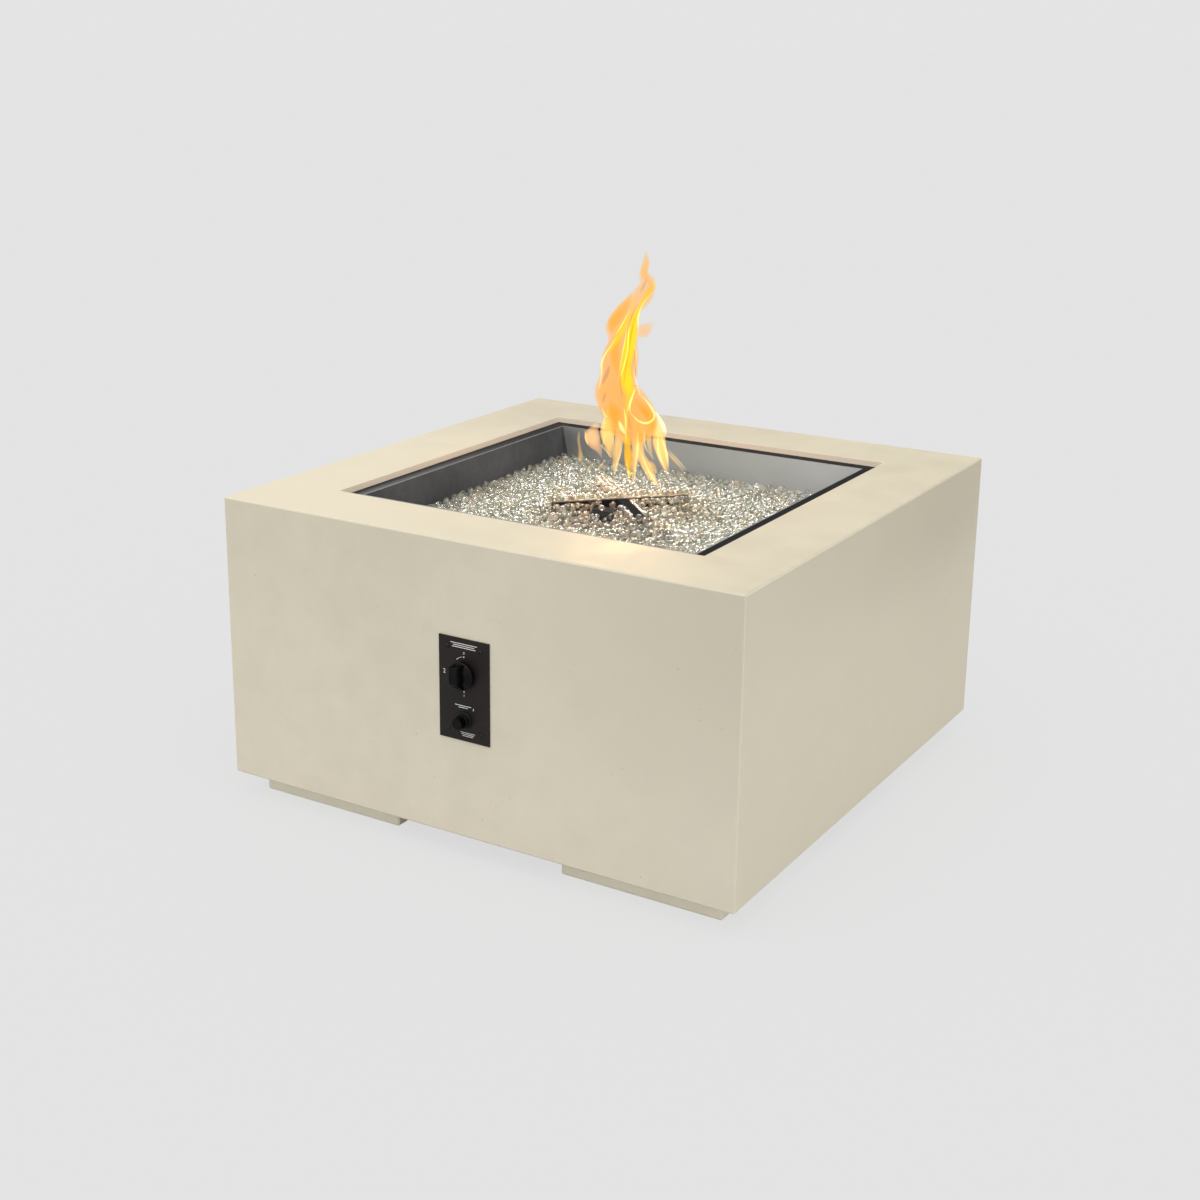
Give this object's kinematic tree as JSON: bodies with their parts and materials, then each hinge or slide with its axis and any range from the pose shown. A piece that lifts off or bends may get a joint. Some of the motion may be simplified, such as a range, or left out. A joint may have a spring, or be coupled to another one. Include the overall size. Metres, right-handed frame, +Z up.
{
  "type": "gas fire pit table",
  "caption": "Square cast-concrete gas fire table on low feet, with a sunken burner pan of glass gems, a cross burner and a front panel with a push-turn valve knob and an igniter button.",
  "frame": {"origin": "on the floor, under the middle of the cast body", "axes": "+Z up, control panel towards -Y, +X to the right of someone facing the panel"},
  "size_m": [0.914, 0.946, 0.503],
  "materials": {
    "concrete": "smooth cast concrete, cream, matte with fine pinholes",
    "foot_concrete": "cast concrete, greyer, matte",
    "stainless": "brushed stainless sheet",
    "black_steel": "heat-proof matte black",
    "burner_steel": "heat-tinted, sooty stainless",
    "fire_glass": "clear tumbled glass gems with a faint green tint",
    "zinc_steel": "zinc-plated steel",
    "brass": "machined brass",
    "gasket_felt": "woven glass-fibre tape",
    "coated_line": "yellow coating over corrugated steel",
    "cast_aluminium": "die-cast, lightly tumbled",
    "panel_black": "satin black powder coat",
    "screw_black": "black oxide",
    "knob_plastic": "moulded black, fine texture",
    "igniter_plastic": "moulded black",
    "anchor_plastic": "grey nylon",
    "battery_wrap": "printed sleeve without words",
    "lead_silicone": "red silicone insulation",
    "boot_rubber": "black silicone",
    "white_ceramic": "unglazed white ceramic",
    "copper_sensor": "drawn copper"
  },
  "bodies": {
    "table": {"concrete_shell": "concrete", "foot_front_left": "foot_concrete", "foot_front_right": "foot_concrete", "foot_back_left": "foot_concrete", "foot_back_right": "foot_concrete", "foot_bolts": "zinc_steel", "foot_inserts": "brass", "rim_gasket": "gasket_felt", "rim_frame": "black_steel", "pan_floor": "stainless", "pan_wall_front": "stainless", "pan_wall_back": "stainless", "pan_wall_left": "stainless", "pan_wall_right": "stainless", "fire_glass": "fire_glass", "gem_heap": "fire_glass", "burner_cross": "burner_steel", "burner_riser": "zinc_steel", "burner_locknuts": "zinc_steel", "air_mixer": "zinc_steel", "gas_jet": "brass", "burner_elbow": "brass", "flex_line": "coated_line", "flare_nuts": "brass", "valve_body": "cast_aluminium", "valve_cover": "cast_aluminium", "valve_cover_screws": "zinc_steel", "valve_nut": "zinc_steel", "stem_spring": "zinc_steel", "inlet_elbow": "brass", "control_panel": "panel_black", "panel_screws": "screw_black", "panel_anchors": "anchor_plastic", "igniter_collar": "igniter_plastic", "igniter_nut": "igniter_plastic", "igniter_module": "igniter_plastic", "igniter_battery": "battery_wrap", "igniter_spring": "zinc_steel", "ignition_lead": "lead_silicone", "electrode_boot": "boot_rubber", "electrode_insulator": "white_ceramic", "electrode_rod": "stainless", "pilot_bracket": "black_steel", "pilot_screws": "zinc_steel", "flame_sensor": "copper_sensor", "sensor_nut": "brass", "sensor_lead": "copper_sensor"},
    "plunger": {"stem_plunger": "stainless"},
    "knob": {"knob": "knob_plastic", "knob_clip": "zinc_steel", "valve_stem": "brass"},
    "igniter_button": {"igniter_button": "knob_plastic"}
  },
  "joints": [
    {"name": "knob_push", "type": "slide", "parent": "table", "child": "plunger", "axis": [0, 1, 0], "range_m": [0, 0.004], "stiffness_N_per_m": 1500, "deforming": ["stem_spring"]},
    {"name": "knob_turn", "type": "hinge", "parent": "plunger", "child": "knob", "pos_m": [0.004, -0.437, 0.2998], "axis": [0, 1, 0], "range_deg": [0, 180]},
    {"name": "igniter_press", "type": "slide", "parent": "table", "child": "igniter_button", "axis": [0, 1, 0], "range_m": [0, 0.003], "stiffness_N_per_m": 1200, "deforming": ["igniter_spring"]}
  ]
}
